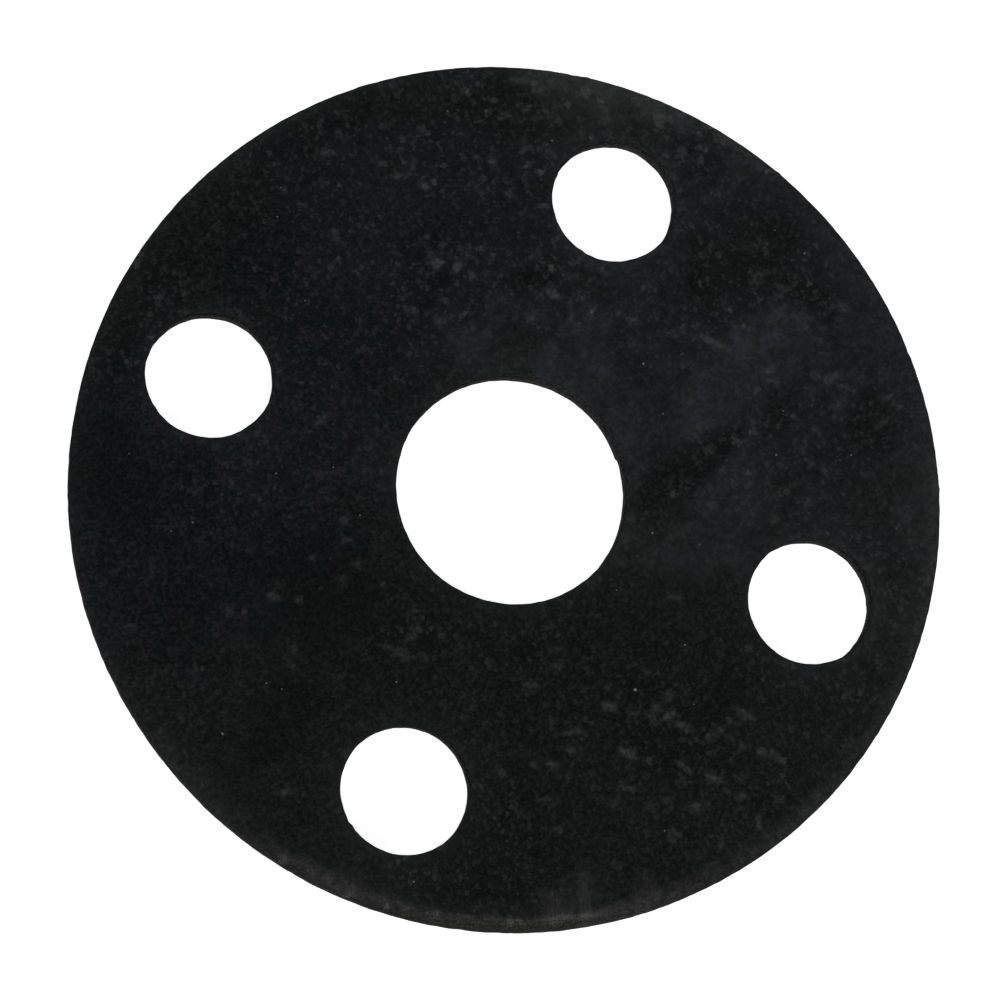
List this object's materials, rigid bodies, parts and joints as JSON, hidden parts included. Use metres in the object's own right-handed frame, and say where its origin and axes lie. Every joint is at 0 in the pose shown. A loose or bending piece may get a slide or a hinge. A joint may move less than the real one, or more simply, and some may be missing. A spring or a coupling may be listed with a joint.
{
  "type": "rubber flange gasket",
  "caption": "Flat round full-face gasket of black sheet rubber, with a central bore and a ring of bolt holes, for sealing a small bolted pipe flange.",
  "frame": {"origin": "centre of the bore on the lower sealing face", "axes": "+Z along the bore axis, out of the upper sealing face; +X midway between two neighbouring bolt holes"},
  "size_m": [0.1, 0.1, 0.003],
  "materials": {
    "rubber": "matte, lightly blotched"
  },
  "bodies": {
    "root": {"flange_gasket": "rubber"}
  },
  "joints": []
}
